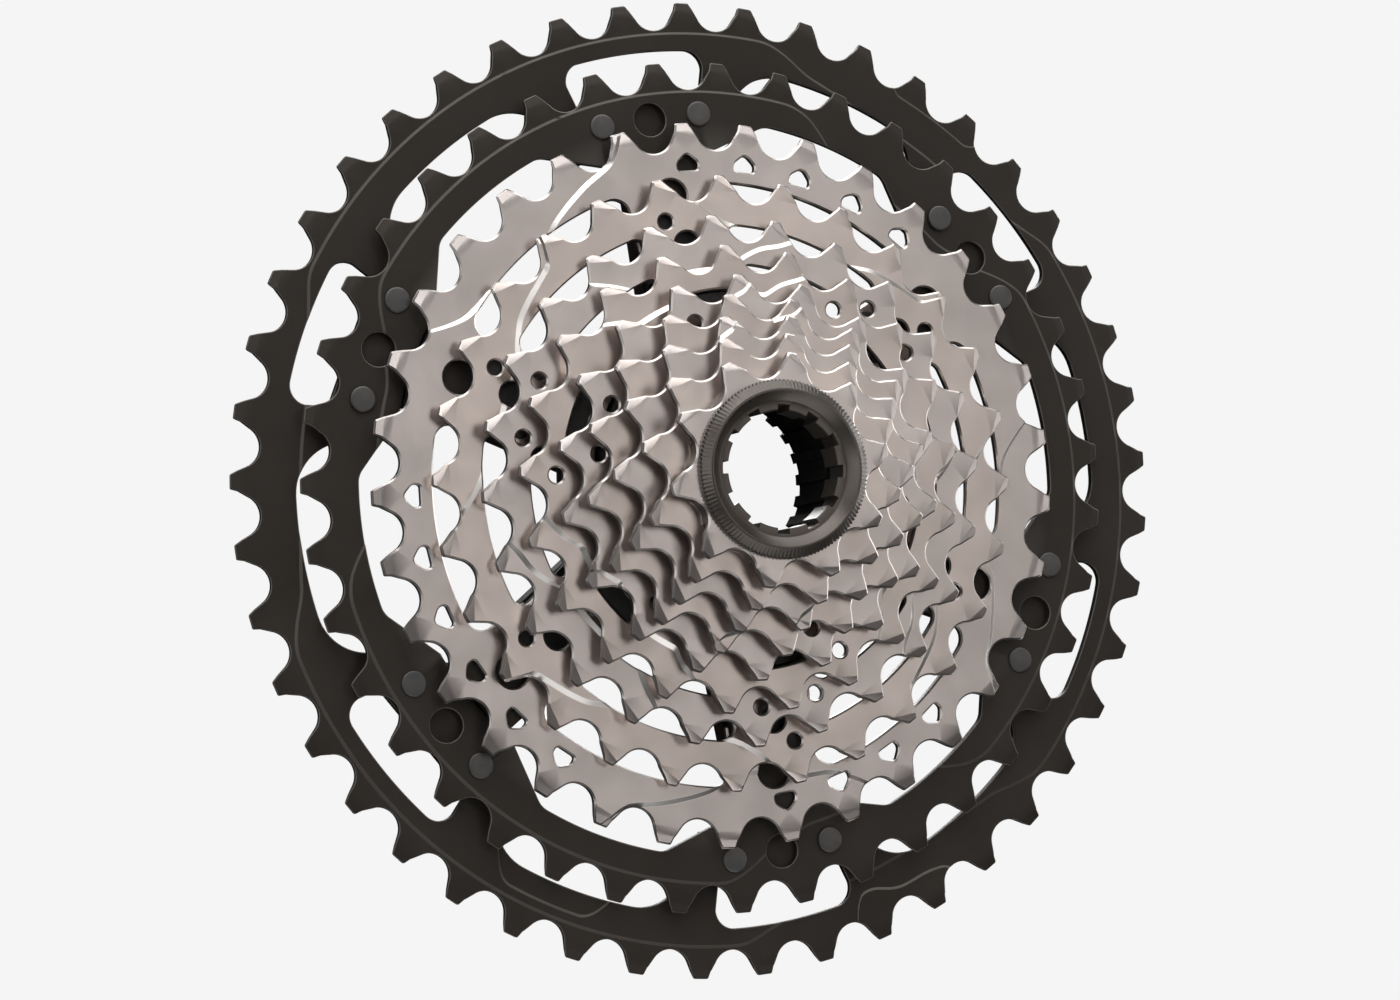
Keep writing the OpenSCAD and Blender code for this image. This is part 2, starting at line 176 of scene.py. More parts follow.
class ToothBevel:
    """The slanting facet on the front of each tooth. It starts at a line below the pitch circle,
    tilted a little, and falls from there to the tip."""

    def __init__(self, count, first):
        big = count >= TEETH[2]
        self.count, self.first = count, first
        self.start = pitch_radius(count) - (1.0 if big else 0.8)
        tilt = math.radians(15 if big else 27)
        self.normal = (-math.sin(tilt), math.cos(tilt))
        self.slope = 0.3 if big else 0.42

    def lines(self):
        for i in range(self.count):
            ends = []
            for t in (-4.6, 2.8):
                across, along = self.normal[1] * t, self.start - self.normal[0] * t
                ends.append((along, across))
            yield turn(ends, self.first + i * 360 / self.count)

    def drop(self, p):
        step = 2 * math.pi / self.count
        a = np.arctan2(p[:, 1], p[:, 0]) - math.radians(self.first)
        a -= np.round(a / step) * step
        r = np.linalg.norm(p, axis=1)
        across, along = r * np.sin(a), r * np.cos(a) - self.start
        return self.slope * np.maximum(0, self.normal[0] * across + self.normal[1] * along)

    def shine(self, p):
        return np.zeros(len(p))


def window_loop(r_out, a_out, r_in, a_in, corner, a_mid, corner_turn=90):
    """Window with an arc as its outer side, straight sides and round outer corners"""
    centre_r = r_out - corner
    centre_a = a_out - math.degrees(math.asin(corner / centre_r))
    upper = [polar(r_out, a) for a in np.linspace(0, centre_a, 14, endpoint=False)]
    cx, cy = polar(centre_r, centre_a)
    for t in np.linspace(0, corner_turn, 13):
        dx, dy = polar(corner, centre_a + t)
        upper.append((cx + dx, cy + dy))
    upper.append(polar(r_in, a_in))
    lower = [(x, -y) for x, y in reversed(upper[1:])]
    return turn(upper + lower, a_mid)


def rounded_loop(corners, radius, steps=5):
    """Closed polygon with every corner rounded"""
    out = []
    n = len(corners)
    for i in range(n):
        p, q, r = (np.array(corners[j % n], float) for j in (i - 1, i, i + 1))
        a, b = (p - q) / np.linalg.norm(p - q), (r - q) / np.linalg.norm(r - q)
        cut = min(radius, 0.45 * np.linalg.norm(p - q), 0.45 * np.linalg.norm(r - q))
        for t in np.linspace(0, 1, steps):
            bend = (1 - t) ** 2 * (q + a * cut) + 2 * t * (1 - t) * q + t * t * (q + b * cut)
            out.append(tuple(bend))
    return out


def inside(points, loop):
    """Which points lie inside a closed loop"""
    px, py = points[:, 0], points[:, 1]
    result = np.zeros(len(points), bool)
    q = np.asarray(loop)
    x0, y0 = q[:, 0], q[:, 1]
    x1, y1 = np.roll(x0, -1), np.roll(y0, -1)
    for a, b, c, d in zip(x0, y0, x1, y1):
        if b == d:
            continue
        crosses = ((b > py) != (d > py)) & (px < (c - a) * (py - b) / (d - b) + a)
        result ^= crosses
    return result


def offset_loop(loop, distance):
    """The loop moved sideways; a positive distance moves it to its left"""
    q = np.asarray(loop)
    forward = np.roll(q, -1, axis=0) - q
    forward /= np.maximum(np.linalg.norm(forward, axis=1), 1e-9)[:, None]
    normal = np.stack([-forward[:, 1], forward[:, 0]], axis=1)
    both = normal + np.roll(normal, 1, axis=0)
    length = np.maximum(np.linalg.norm(both, axis=1), 0.6)
    both = both / length[:, None]
    scale = distance / np.maximum(np.sum(both * normal, axis=1), 0.7)
    return q + both * scale[:, None]


def area(loop):
    q = np.asarray(loop)
    x, y = q[:, 0], q[:, 1]
    return 0.5 * np.sum(x * np.roll(y, -1) - y * np.roll(x, -1))


def distance_to(points, starts, ends):
    """Distance of each point from the nearest of the segments"""
    best = np.full(len(points), 1e9)
    d = ends - starts
    length = np.maximum(np.sum(d * d, axis=1), 1e-12)
    for i in range(0, len(points), 400):
        p = points[i:i + 400, None, :]
        t = np.clip(np.sum((p - starts) * d, axis=2) / length, 0, 1)
        gap = np.linalg.norm(p - (starts + t[..., None] * d), axis=2)
        best[i:i + 400] = gap.min(axis=1)
    return best


def smooth_between(x, knots):
    """Radius at angle x of a curve through (angle, radius) knots, with its corners rounded off"""
    angle, radius = zip(*knots)
    soft = 1.2
    return np.mean([np.interp(x + d, angle, radius) for d in np.linspace(-soft, soft, 7)], axis=0)


class Ramp:
    """A recess in a sprocket's face. Outside the curve through its knots the face is lower."""

    line_w = 0.15

    def __init__(self, knots, depth=0.6, slope=0.9, outwards=True, slope_highlight=1.0):
        self.knots = sorted(knots)
        self.slope_highlight = slope_highlight
        self.outwards = outwards
        self.depth = depth
        self.slope = slope

    def lines(self):
        a = np.arange(self.knots[0][0], self.knots[-1][0] + 0.01, 0.5)
        r = smooth_between(a, self.knots)
        for extra in (-self.line_w, 0, self.slope, self.slope + self.line_w):
            yield [polar(ri + extra, ai) for ai, ri in zip(a, r)]

    def past(self, p):
        """How far points lie outside the curve, and which of them are within its angles"""
        a = np.degrees(np.arctan2(p[:, 1], p[:, 0])) % 360
        low, high = self.knots[0][0], self.knots[-1][0]
        a = np.where(a < low - 1e-6, a + 360, a)
        a = np.where(a > high + 360 - 1e-6, a - 360, a)
        past = np.linalg.norm(p, axis=1) - smooth_between(a, self.knots)
        if not self.outwards:
            past = self.slope - past
        return past, (a >= low) & (a <= high)

    def drop(self, p):
        past, beside = self.past(p)
        return np.where(beside, np.clip(past / self.slope, 0, 1) * self.depth, 0)

    def shine(self, p):
        """Painted highlight along the slope: one on the slope, falling to nought a little beyond it"""
        past, beside = self.past(p)
        from_slope = np.maximum(-past, past - self.slope)
        return self.slope_highlight * np.where(beside, np.clip(1 - from_slope / self.line_w, 0, 1), 0)


def plate(name, node, material, outline, holes, front, rear, chamfer=0.18, ramps=(), boss=None):
    """A plate with holes and ramps. boss is (radius, drawing z of its rear end)."""
    loops = [outline] + list(holes)
    points, edges = [], []

    def add(line, closed):
        start = len(points)
        points.extend(tuple(p) for p in line)
        count = len(line)
        edges.extend((start + i, start + i + 1) for i in range(count - 1))
        if closed:
            edges.append((start + count - 1, start))

    for i, loop in enumerate(loops):
        add(loop, True)
        inward = 1 if (area(loop) > 0) == (i == 0) else -1
        add(offset_loop(loop, chamfer * inward), True)
    if boss:
        add(circle_loop(boss[0], count=180), True)
    for ramp in ramps:
        for line in ramp.lines():
            add(line, False)

    out = delaunay_2d_cdt([Vector(p) for p in points], edges, [], 0, 1e-5)
    xy = np.array([(v.x, v.y) for v in out[0]])
    tris = np.array([f for f in out[2]], int)
    centre = xy[tris].mean(axis=1)
    keep = inside(centre, outline)
    for hole in holes:
        keep &= ~inside(centre, hole)
    a, b, c = xy[tris[:, 0]], xy[tris[:, 1]], xy[tris[:, 2]]
    ab, ac = b - a, c - a
    size = 0.5 * (ab[:, 0] * ac[:, 1] - ac[:, 0] * ab[:, 1])
    tris[size < 0] = tris[size < 0][:, ::-1]
    keep &= np.abs(size) > 1e-9
    tris = tris[keep]
    used = np.unique(tris)
    remap = np.full(len(xy), -1)
    remap[used] = np.arange(len(used))
    xy, tris = xy[used], remap[tris]

    # Edges with one triangle are the plate's boundary
    pairs = np.concatenate([tris[:, [0, 1]], tris[:, [1, 2]], tris[:, [2, 0]]])
    key = {(int(i), int(j)) for i, j in pairs}
    border = [(i, j) for i, j in key if (j, i) not in key]
    starts = xy[[i for i, _ in border]]
    ends = xy[[j for _, j in border]]
    gap = distance_to(xy, starts, ends)
    bevel = np.clip(chamfer - gap, 0, chamfer)
    bevel[np.abs(bevel) < 1e-4] = 0
    drop = bevel.copy()
    shine = bevel / chamfer
    for ramp in ramps:
        drop += ramp.drop(xy)
        shine = np.maximum(shine, ramp.shine(xy))

    count = len(xy)
    top = np.column_stack([xy, front - drop])
    low = np.column_stack([xy, rear + bevel])
    vertices = [top, low]
    faces = [tuple(t) for t in tris]
    smooth = [False] * len(tris)
    if boss:
        in_boss = np.linalg.norm(xy[tris].mean(axis=1), axis=1) < boss[0]
        deep = np.column_stack([xy, boss[1] + bevel])
        vertices.append(deep)
        faces += [tuple(t[::-1] + count) for t in tris[~in_boss]]
        faces += [tuple(t[::-1] + 2 * count) for t in tris[in_boss]]
        smooth += [False] * len(tris)
        inner = tris[in_boss]
        sides = np.concatenate([inner[:, [0, 1]], inner[:, [1, 2]], inner[:, [2, 0]]])
        inner_pairs = {(int(i), int(j)) for i, j in sides}
        rim = [(i, j) for i, j in inner_pairs if (j, i) not in inner_pairs and (j, i) in key]
        for i, j in rim:
            faces.append((i + count, i + 2 * count, j + 2 * count, j + count))
            smooth.append(True)
        depth_of = {v: 2 * count for v in np.unique(inner).tolist()}
    else:
        faces += [tuple(t[::-1] + count) for t in tris]
        smooth += [False] * len(tris)
    for i, j in border:
        if boss and i in depth_of and j in depth_of:
            faces.append((j, i, i + 2 * count, j + 2 * count))
        else:
            faces.append((j, i, i + count, j + count))
        smooth.append(True)
    allv = np.concatenate(vertices)
    used = np.unique(np.array([v for f in faces for v in f]))
    remap = np.full(len(allv), -1)
    remap[used] = np.arange(len(used))
    faces = [tuple(int(remap[v]) for v in f) for f in faces]
    # The edge attribute marks chamfers and ramp slopes, which the materials paint brighter: partly rubbed
    # edges, partly a painted highlight
    edge_value = np.concatenate([shine] + [bevel / chamfer] * (len(vertices) - 1))[used]
    piece = new_piece(name, allv[used], faces, node, material, smooth)
    attribute = piece.data.attributes.new("edge", "FLOAT", "POINT")
    if len(piece.data.vertices) == len(edge_value):
        attribute.data.foreach_set("value", edge_value.astype(np.float32))
    return piece


# ---- Turned parts ----

def lathe_faces(rows, columns, offset=0):
    faces = []
    for i in range(rows):
        for j in range(columns):
            a = i * columns + j
            b = i * columns + (j + 1) % columns
            c = ((i + 1) % rows) * columns + (j + 1) % columns
            d = ((i + 1) % rows) * columns + j
            faces.append((a + offset, b + offset, c + offset, d + offset))
    return faces


def ring(name, node, material, profile, columns=144):
    """Solid ring turned from a closed profile of (radius, z) points"""
    vertices = []
    for r, z in profile:
        for j in range(columns):
            x, y = polar(r, j * 360 / columns)
            vertices.append((x, y, z))
    faces = lathe_faces(len(profile), columns)
    return new_piece(name, vertices, faces, node, material, [True] * len(faces))


def rivets(name, node, material, places, shank_r, head_r, head_t):
    """Rivets with a slightly domed head at each end"""
    low, high = span(node)
    columns = 32
    vertices, faces = [], []
    profile = [(head_r - 0.42, 0.0), (head_r - 0.2, 0.03), (head_r - 0.06, 0.1), (head_r, 0.2),
               (head_r, head_t), (shank_r, head_t)]
    side = [(r, low + d) for r, d in profile] + [(r, high - d) for r, d in reversed(profile)]
    for r0, a0 in places:
        cx, cy = polar(r0, a0)
        start = len(vertices)
        for r, z in side:
            for j in range(columns):
                x, y = polar(r, j * 360 / columns)
                vertices.append((cx + x, cy + y, z))
        rows = len(side)
        faces += lathe_faces(rows, columns, start)[:(rows - 1) * columns]
        faces.append(tuple(start + j for j in range(columns))[::-1])
        faces.append(tuple(start + (rows - 1) * columns + j for j in range(columns)))
    return new_piece(name, vertices, faces, node, material, [len(f) == 4 for f in faces])


# ---- Materials ----

class Nodes:
    """Short way to build a node material"""

    def __init__(self, name):
        self.material = bpy.data.materials.new(name)
        self.material.use_nodes = True
        self.tree = self.material.node_tree
        self.tree.nodes.clear()
        self.out = self.tree.nodes.new("ShaderNodeOutputMaterial")

    def add(self, kind, inputs=None, **settings):
        node = self.tree.nodes.new("ShaderNode" + kind)
        for key, value in settings.items():
            setattr(node, key, value)
        for key, value in (inputs or {}).items():
            if hasattr(value, "is_output"):
                self.tree.links.new(value, node.inputs[key])
            else:
                node.inputs[key].default_value = value
        return node

    def noise(self, scale, detail=3.0, roughness=0.5):
        where = self.add("TexCoord").outputs["Object"]
        return self.add("TexNoise", {"Vector": where, "Scale": scale, "Detail": detail,
                                     "Roughness": roughness}).outputs["Fac"]

    def spread(self, value, low, high):
        return self.add("MapRange", {"Value": value, "To Min": low, "To Max": high,
                                     "From Min": 0.3, "From Max": 0.7}).outputs["Result"]

    def mix(self, factor, a, b):
        node = self.add("Mix", data_type="RGBA")
        given = zip((node.inputs["Factor"], node.inputs[6], node.inputs[7]), (factor, a, b))
        for socket, value in given:
            if hasattr(value, "is_output"):
                self.tree.links.new(value, socket)
            else:
                socket.default_value = value
        return node.outputs[2]

    def off_wall(self):
        """One on faces and chamfers, nought on the walls that run along the hub axis"""
        normal = self.add("TexCoord").outputs["Normal"]
        along = self.add("SeparateXYZ", {"Vector": normal}).outputs["Y"]
        size = self.add("Math", {0: along}, operation="ABSOLUTE").outputs[0]
        return self.add("MapRange", {"Value": size, "From Min": 0.25, "From Max": 0.45}).outputs["Result"]

    # Brighter edges: the edge attribute on chamfers and ramp slopes, off the walls; partly rubbed edges,
    # partly a painted highlight
    def wear_and_highlight(self, off_wall):
        edge = self.add("Attribute", attribute_name="edge").outputs["Fac"]
        return self.add("Math", {0: edge, 1: off_wall}, operation="MULTIPLY").outputs[0]

    def finish(self, shader):
        self.tree.links.new(shader.outputs[0], self.out.inputs[0])
        return self.material


def satin_silver(name, tone, warm):
    """Nickel plated steel, satin, with fine grain and faint cloudy patches. Its walls are painted darker
    as shade, and its chamfers and ramp slopes are painted brighter, partly as rubbed edges and partly as
    a painted highlight
    """
    m = Nodes(name)
    base = (0.72 * tone * warm, 0.644 * tone, 0.607 * tone / warm, 1)
    deep = tuple(c * 0.86 for c in base[:3]) + (1,)
    cloud = m.spread(m.noise(45, 2), 0, 1)
    colour = m.mix(cloud, deep, base)
    off_wall = m.off_wall()
    # Walls painted darker: painted shade standing in for the dark crescents beside the sprockets' edges,
    # not the colour of cut metal
    cut = tuple(c * 0.42 for c in base[:3]) + (1,)
    colour = m.mix(off_wall, cut, colour)
    # Chamfers and ramp slopes painted brighter: a painted highlight, partly rubbed edges
    bright = m.mix(m.wear_and_highlight(off_wall), colour, (0.8, 0.765, 0.73, 1))
    rough = m.spread(m.noise(160, 4), 0.32, 0.38)
    grain = m.noise(5200, 2)
    bump = m.add("Bump", {"Height": grain, "Strength": 0.06, "Distance": 0.0001})
    return m.finish(m.add("BsdfPrincipled", {
        "Base Color": bright, "Metallic": 1.0, "Roughness": rough, "Normal": bump.outputs[0]}))


def anodised_black(name, tone=1.0, rough_low=0.42, rough_high=0.55, edge_tone=0.24, gloss=0.34):
    """Blasted and anodised aluminium: fine pitted grain, brighter along its edges and ramp slopes, partly
    rubbed bare and partly a painted highlight
    """
    m = Nodes(name)
    base = (0.025 * tone, 0.021 * tone, 0.0175 * tone, 1)
    dusty = (0.034 * tone, 0.0295 * tone, 0.0255 * tone, 1)
    colour = m.mix(m.spread(m.noise(60, 3), 0, 1), base, dusty)
    # Edges and ramp slopes painted brighter: partly rubbed bare, partly a painted highlight
    edge_rub_and_highlight = m.mix(m.wear_and_highlight(m.off_wall()), colour, (edge_tone, edge_tone * 0.92, edge_tone * 0.85, 1))
    rough = m.spread(m.noise(220, 4), rough_low, rough_high)
    pits = m.noise(4200, 4, 0.7)
    bump = m.add("Bump", {"Height": pits, "Strength": 0.22, "Distance": 0.0001})
    return m.finish(m.add("BsdfPrincipled", {
        "Base Color": edge_rub_and_highlight, "Metallic": 0.0, "Roughness": rough, "Specular IOR Level": gloss,
        "Specular Tint": (1.0, 0.9, 0.82, 1),
        "Normal": bump.outputs[0]}))


def composite_black(name):
    """Fibre-filled moulded composite"""
    m = Nodes(name)
    colour = m.mix(m.spread(m.noise(900, 3), 0, 1), (0.016, 0.015, 0.014, 1), (0.028, 0.027, 0.026, 1))
    rough = m.spread(m.noise(300, 3), 0.5, 0.68)
    bump = m.add("Bump", {"Height": m.noise(2500, 4, 0.7), "Strength": 0.3, "Distance": 0.0001})
    return m.finish(m.add("BsdfPrincipled", {
        "Base Color": colour, "Roughness": rough, "Normal": bump.outputs[0]}))


def dull_steel(name, tone):
    m = Nodes(name)
    colour = m.mix(m.spread(m.noise(400, 3), 0, 1), (tone * 0.85,) * 3 + (1,),
                   (tone * 1.1, tone * 1.05, tone, 1))
    rough = m.spread(m.noise(700, 3), 0.38, 0.56)
    bump = m.add("Bump", {"Height": m.noise(3500, 3), "Strength": 0.15, "Distance": 0.0001})
    return m.finish(m.add("BsdfPrincipled", {
        "Base Color": colour, "Metallic": 0.85, "Roughness": rough, "Normal": bump.outputs[0]}))


black = anodised_black("anodised_black", 0.9)
carrier_black = anodised_black("carrier_black", 0.9)
spacer_black = anodised_black("spacer_black", 0.8, 0.3, 0.45)
lockring_black = anodised_black("lockring_black", 1.7, 0.26, 0.36, gloss=0.95)
composite = composite_black("composite_black")
rivet_dark = dull_steel("rivet_dark", 0.13)
washer_steel = dull_steel("washer_steel", 0.3)


# ---- The eleven sprockets ----

def circles(radius, places):
    return [circle_loop(radius, polar(r, a)) for r, a in places]


def sprocket(k, material, holes, ramps=(), chamfer=0.18, boss_r=None):
    """Sprocket number k, from the largest"""
    count = TEETH[k]
    node = f"sprocket_{count}t"
    low, high = span(node)
    boss = (boss_r, low) if boss_r else None
    return plate(node + "_plate", node, material, tooth_loop(count, CLOCKING[k]), holes, high,
                 high - PLATE_T, chamfer, list(ramps) + [ToothBevel(count, CLOCKING[k])], boss)


def freehub_loop():
    """The splined bore: a round core with 23 grooves, the first one wider"""
    tip_r, groove_r, groove_w, count = 14.8, 15.6, 2.1, 23
    loop = []
    for i in range(count):
        w = groove_w * (1.5 if i == 0 else 1.0)
        mid = 90 + i * 360 / count
        inner = math.degrees(math.asin(w / 2 / tip_r))
        outer = math.degrees(math.asin(w / 2 / groove_r))
        loop += [polar(tip_r, mid - inner)]
        loop += [polar(groove_r, mid + a) for a in np.linspace(-outer, outer, 4)]
        loop += [polar(tip_r, mid + inner)]
        w_next = groove_w * (1.5 if (i + 1) % count == 0 else 1.0)
        next_start = mid + 360 / count - math.degrees(math.asin(w_next / 2 / tip_r))
        loop += [polar(tip_r, a) for a in np.linspace(mid + inner, next_start, 5)[1:-1]]
    return loop


# Windows between the arms and slots at the arms: outer radius, half angle there, inner radius,
# half angle there, corner radius, and how many degrees the corner turns
WINDOW_45 = (80.3, 15.7, 62, 18.5, 9.5, 75)
SLOT_45 = (83.2, 10, 75.3, 9.6, 3.6, 90)
WINDOW_39 = (69.5, 13, 60.6, 25.6, 4, 36)
WINDOW_33 = (56.7, 20.5, 44, 19.5, 3, 90)
WINDOW_28 = (48.2, 20, 38, 16.5, 2.5, 90)
WINDOW_24 = (40.3, 18, 34, 15, 2, 90)
SLOT_21 = (35.4, 10, 32.4, 9, 1.2, 90)

# Centre holes, pockets, small holes and rivet holes
CENTRE_45_R = 65
CENTRE_39_R = 63
CENTRE_33_R = 45.5
CENTRE_28_R = 39.6
CENTRE_24_R = 35.3
CENTRE_21_R = 29.3
CENTRE_18_R = 22.4
POCKET_R = 3.2
POCKET_28_R = 2.5
SMALL_HOLE_R = 1.45
OUTER_RIVET_HOLE_R = 1.55
RIVET_HOLE_R = 1.05

# Rivet places as (radius, angle)
RIVETS_45_39 = [(70.3, a) for a in arms(8) + arms(-8)]
RIVETS_33 = [(49, a) for a in arms(4.2) + arms(-4.2)]
RIVETS_28 = [(42, a) for a in arms(8) + arms(-8)]
RIVETS_24 = [(37.2, a) for a in arms()]
RIVETS_21 = [(31.4, a) for a in arms(ARM_STEP / 2)]
RIVETS_18 = [(25.9, a) for a in arms(ARM_STEP / 2)]


def windows(shape, places):
    r_out, a_out, r_in, a_in, corner, corner_turn = shape
    return [window_loop(r_out, a_out, r_in, a_in, corner, a, corner_turn) for a in places]


def teardrop_loop(a):
    """Hole under a tooth: three-sided with round corners"""
    shape = [(-1.3, -2), (0.2, -2.1), (2.1, 0), (0.2, 2.1), (-1.3, 2)]
    middle_r = 60.4
    return turn([(x + middle_r, y) for x, y in rounded_loop(shape, 1.0)], a)


between_arms = arms(ARM_STEP / 2)

holes_45 = [circle_loop(CENTRE_45_R, count=300)]
holes_45 += windows(WINDOW_45, between_arms) + windows(SLOT_45, arms())
holes_45 += circles(POCKET_R, [(69.8, a) for a in arms()])
holes_45 += circles(OUTER_RIVET_HOLE_R, RIVETS_45_39)

holes_39 = [circle_loop(CENTRE_39_R, count=300)]
holes_39 += windows(WINDOW_39, between_arms)
holes_39 += circles(POCKET_R, [(69.8, a) for a in arms()])
holes_39 += circles(OUTER_RIVET_HOLE_R, RIVETS_45_39)

holes_33 = [circle_loop(CENTRE_33_R)]
holes_33 += windows(WINDOW_33, between_arms)
holes_33 += circles(POCKET_R, [(54.6, a) for a in arms()])
holes_33 += circles(RIVET_HOLE_R, RIVETS_33)
teeth_with_holes = list(range(4, 9)) + list(range(16, 22)) + list(range(25, 29))
holes_33 += [teardrop_loop(CLOCKING[2] + i * 360 / TEETH[2]) for i in teeth_with_holes]

holes_28 = [circle_loop(CENTRE_28_R)]
holes_28 += windows(WINDOW_28, between_arms)
holes_28 += circles(POCKET_28_R, [(44.9, a) for a in arms()])
holes_28 += circles(RIVET_HOLE_R, RIVETS_28)
holes_28 += circles(SMALL_HOLE_R, [(49.8, a) for a in (37, 105, 157, 217, 285, 337)])

thirds = [ARM_ANGLE + i * ARM_STEP for i in (0, 2, 4)]
holes_24 = [circle_loop(CENTRE_24_R)]
holes_24 += windows(WINDOW_24, between_arms)
holes_24 += circles(RIVET_HOLE_R, RIVETS_24)
holes_24 += circles(SMALL_HOLE_R, [(42.3, a + 3 + side) for a in thirds for side in (-7.5, 7.5)])

holes_21 = [circle_loop(CENTRE_21_R)]
holes_21 += windows(SLOT_21, arms())
holes_21 += circles(RIVET_HOLE_R, RIVETS_21)
holes_21 += circles(SMALL_HOLE_R, [(36.7, a + 20) for a in thirds])

holes_18 = [circle_loop(CENTRE_18_R)]
holes_18 += circles(RIVET_HOLE_R, RIVETS_18)
holes_18 += circles(SMALL_HOLE_R, [(30, a) for a in (52, 112, 156, 174, 232, 293, 352)])


# ---- Sunk areas ----

def rim_step(starts, length, rim_r, way_down, way_up):
    """Knots all the way round of the step below the teeth, which falls back once in a third of a
    turn. The ways are given as (degrees after the step's end or before its next start, radius)."""
    knots = []
    for a in starts:
        knots += [(a, rim_r), (a - length, rim_r)]
        knots += [(a - length - d, r) for d, r in way_down]
        knots += [(a - 120 + d, r) for d, r in way_up]
    middle = starts[0] - length / 2
    knots = [((a - middle) % 360 + middle, r) for a, r in knots]
    return knots + [(middle, rim_r), (middle + 360, rim_r)]


# Sunk areas of the black sprockets, as (angle, radius) knots
ramps_45 = [
    Ramp(rim_step((155, 35, 275), 73, 86.2, [(3, 84.4), (6, 82), (11, 80.6), (17, 79.3)],
                  [(16, 79.3), (8, 81.5), (3, 84.2)]), 0.28, 0.42, slope_highlight=0.3),
    Ramp([(49, 93), (51, 86.4), (64, 86.4), (66, 93)], 0.22, 0.3, slope_highlight=0.3),
    Ramp([(238, 78), (241, 84.3), (253.5, 84.3), (257, 78)], 0.3, 0.4, outwards=False, slope_highlight=0.4),
    Ramp([(289, 94), (291, 83.2), (293.5, 82.2), (297, 84.8), (302, 85), (305, 86.5), (307, 93)],
         0.25, 0.35)]

ramps_39 = [
    Ramp(rim_step((152, 32, 272), 74, 74.4, [(3, 73.2), (7, 69.5), (10, 66)],
                  [(14, 66), (7, 69), (3, 72.5)]), 0.28, 0.42, slope_highlight=0.3)]


def recess(first, width, right_side, left_side, rim_r):
    """Sunk part of a face. Its sides are given as (degrees in from the side, radius), and the
    chain is lifted off there."""
    knots = [(first - 2, rim_r)] + [(first + a, r) for a, r in right_side]
    knots += [(first + width - a, r) for a, r in reversed(left_side)]
    return Ramp(knots + [(first + width + 2, rim_r)])


# Sides of a sunk area of the silver sprockets, as (degrees in from the side, radius)
RIGHT_33 = [(0.5, 66), (1.5, 63.5), (4, 62), (8, 60.8), (12, 59.3), (16, 57.8), (19, 56.5), (22, 54)]
LEFT_33 = [(1.5, 63.5), (4.5, 60), (7.5, 57.6), (11, 56.8), (15, 56.4), (19, 54)]
RIGHT_28 = [(0.3, 57), (0.8, 54), (2, 52.3), (6, 51.3), (11, 50.4), (15, 49.6), (20, 47.5), (24, 45.5)]
LEFT_28 = [(1.5, 54.2), (4, 51.5), (7, 49.5), (10, 48), (15, 47), (20, 45.5)]
RIGHT_24 = [(1, 46.5), (5, 44.5), (10, 43.2), (14, 41.4), (18, 39)]
LEFT_24 = [(1, 45.2), (4, 43.4), (7, 41.6), (11, 39)]
RIGHT_21 = [(1, 40.5), (5, 38.4), (10, 36.4), (14, 34)]
LEFT_21 = [(1, 39.2), (4, 37.6), (8, 36), (11, 34)]

ramps_33 = [recess(a, w, RIGHT_33, LEFT_33, 70) for a, w in ((108, 50), (250, 50), (326, 48))]
ramps_28 = [recess(40 + i * 90.5, 61, RIGHT_28, LEFT_28, 60) for i in range(4)]
ramps_24 = [recess(74 + i * 120, 57, RIGHT_24, LEFT_24, 52) for i in range(3)]
ramps_21 = [recess(69 + i * 120, 69, RIGHT_21, LEFT_21, 46) for i in range(3)]
ramps_18 = [
    Ramp([(86, 39), (92, 34), (99, 32), (106, 39)], 0.6, 0.8),
    Ramp([(206, 39), (212, 34), (219, 32), (226, 39)], 0.6, 0.8)]
ramps_16 = [
    Ramp([(70, 36), (77, 30), (85, 28), (92, 36)], 0.6, 0.8),
    Ramp([(250, 36), (257, 30), (265, 28), (272, 36)], 0.6, 0.8)]
ramps_14 = [
    Ramp([(96, 32), (104, 26.5), (113, 25), (121, 32)], 0.6, 0.8),
    Ramp([(276, 32), (284, 26.5), (293, 25), (301, 32)], 0.6, 0.8)]
ramps_12 = [Ramp([(140, 28), (150, 22.5), (160, 21.5), (168, 28)], 0.6, 0.8)]


# ---- Put the sprockets and rivets in place ----

HOLES = [holes_45, holes_39, holes_33, holes_28, holes_24, holes_21, holes_18]
HOLES += [[freehub_loop()]] * 4
RAMPS = [ramps_45, ramps_39, ramps_33, ramps_28, ramps_24, ramps_21, ramps_18, ramps_16, ramps_14,
         ramps_12, []]
# Radius of the built-in spacers of the two smallest sprockets
BOSSES = {9: 18.9, 10: 17.4}

for k, count in enumerate(TEETH):
    if k < 2:
        finish, chamfer = black, BLACK_CHAMFER
    else:
        tone, warmth = 1.0 - 0.03 * (k % 3), 1.0 + 0.012 * ((k % 2) * 2 - 1)
        finish, chamfer = satin_silver(f"satin_silver_{count}", tone, warmth), SILVER_CHAMFER
    sprocket(k, finish, HOLES[k], RAMPS[k], chamfer, BOSSES.get(k))

# Rivets: where, shank radius, head radius, head thickness
for node, places, shank_r, head_r, head_t in (
        ("rivets_45_39", RIVETS_45_39, 1.5, 2.4, 0.4),
        ("rivets_33t", RIVETS_33, 1.0, 1.9, 0.35),
        ("rivets_28t", RIVETS_28, 1.0, 1.6, 0.35),
        ("rivets_24t", RIVETS_24, 1.0, 1.5, 0.35),
        ("rivets_21t", RIVETS_21, 1.0, 1.5, 0.35),
        ("rivets_18t", RIVETS_18, 1.0, 1.5, 0.35)):
    rivets(node + "_heads", node, rivet_dark, places, shank_r, head_r, head_t)


# ---- Spacers and washer ----

